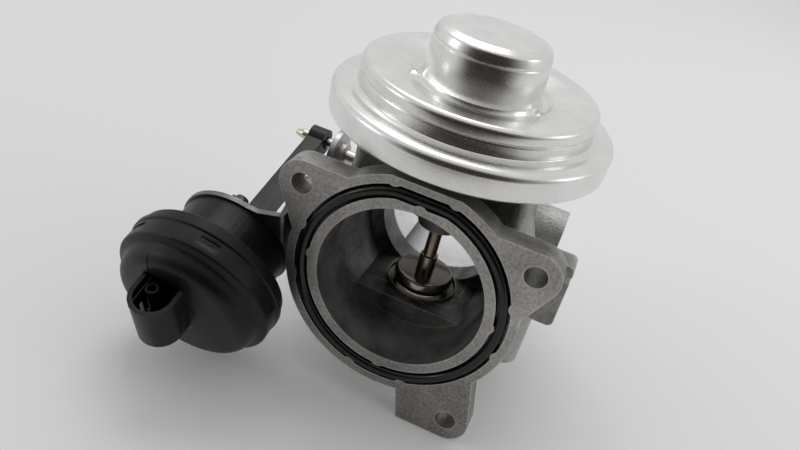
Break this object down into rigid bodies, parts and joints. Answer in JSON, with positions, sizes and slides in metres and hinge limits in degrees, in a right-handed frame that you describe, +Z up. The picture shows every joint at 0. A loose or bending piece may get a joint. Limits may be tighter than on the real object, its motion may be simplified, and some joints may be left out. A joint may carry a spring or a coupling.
{
  "type": "egr valve",
  "caption": "Vacuum exhaust gas recirculation valve: poppet valve and vacuum can on a cast intake body, with a shut-off flap and its own actuator.",
  "frame": {"origin": "centre of the main bore in the front flange face", "axes": "+X along the flap shaft away from the actuator, +Y into the bore away from the flange face, +Z up along the valve stem"},
  "size_m": [0.1372, 0.1416, 0.1257],
  "materials": {
    "actuator_plastic": "satin moulded",
    "bracket_zinc": "zinc plated sheet",
    "bush_bronze": "sintered",
    "can_plated": "bright plated, satin",
    "cast_housing": "as cast, machined faces",
    "crank_steel": "stamped, plated",
    "diaphragm_rubber": "fabric reinforced",
    "fastener_steel": "zinc plated",
    "flap_steel": "stamped",
    "gasket_fibre": "pressed fibre",
    "plate_steel": "pressed",
    "rod_steel": "dark plated",
    "seal_rubber": "moulded",
    "seat_steel": "turned",
    "shaft_steel": "ground, passivated",
    "spring_steel": "drawn wire",
    "valve_bronze_tint": "heat tinted, ground",
    "valve_disc_steel": "turned, heat tinted",
    "wiper_rubber": "moulded"
  },
  "bodies": {
    "body": {"housing": "cast_housing", "flange_seal": "seal_rubber", "valve_seat_ring": "seat_steel", "stem_guide_bush": "bush_bronze", "stem_wiper": "wiper_rubber", "can_gasket": "gasket_fibre", "can_lower_shell": "can_plated", "can_upper_shell": "can_plated", "can_nipple": "can_plated", "can_screws": "fastener_steel", "can_diaphragm": "diaphragm_rubber", "valve_spring": "spring_steel", "shaft_bush_left": "bush_bronze", "shaft_bush_right": "bush_bronze", "shaft_seal": "wiper_rubber", "shaft_end_cap": "fastener_steel", "bracket": "bracket_zinc", "bracket_bolts": "fastener_steel", "actuator_studs": "fastener_steel", "actuator_rear_housing": "actuator_plastic", "actuator_front_cover": "actuator_plastic", "actuator_nipple": "actuator_plastic", "actuator_diaphragm": "diaphragm_rubber", "actuator_spring": "spring_steel"},
    "valve": {"valve_stem": "valve_bronze_tint", "valve_disc": "valve_disc_steel", "stem_nut": "fastener_steel", "diaphragm_plate_lower": "plate_steel", "diaphragm_plate_upper": "plate_steel"},
    "flap": {"flap_shaft": "shaft_steel", "flap_plate": "flap_steel", "flap_screws": "fastener_steel", "crank_plate": "crank_steel", "crank_pin": "shaft_steel"},
    "piston": {"actuator_piston": "actuator_plastic"},
    "rod": {"drive_rod": "rod_steel"}
  },
  "joints": [
    {"name": "valve_lift", "type": "slide", "parent": "body", "child": "valve", "axis": [0, 0, 1], "range_m": [0, 0.006], "stiffness_N_per_m": 3000, "springref_m": -0.004, "deforming": ["valve_spring", "can_diaphragm"]},
    {"name": "flap_turn", "type": "hinge", "parent": "body", "child": "flap", "pos_m": [0, 0.07, 0], "axis": [1, 0, 0], "range_deg": [0, 75], "stiffness_Nm_per_rad": 0.08, "springref_deg": -22.92},
    {"name": "piston_slide", "type": "slide", "parent": "body", "child": "piston", "axis": [0, -0.9397, -0.342], "range_m": [0, 0.00329], "deforming": ["actuator_spring", "actuator_diaphragm"]},
    {"name": "rod_swing", "type": "hinge", "parent": "piston", "child": "rod", "pos_m": [-0.061, -0.00148, -0.01556], "axis": [1, 0, 0], "range_deg": [-3.84, 0]}
  ],
  "couplings": [
    {"joint": "piston_slide", "follows": "flap_turn", "m_per_rad": 0.0025088},
    {"joint": "rod_swing", "follows": "flap_turn", "ratio": -0.051024}
  ]
}
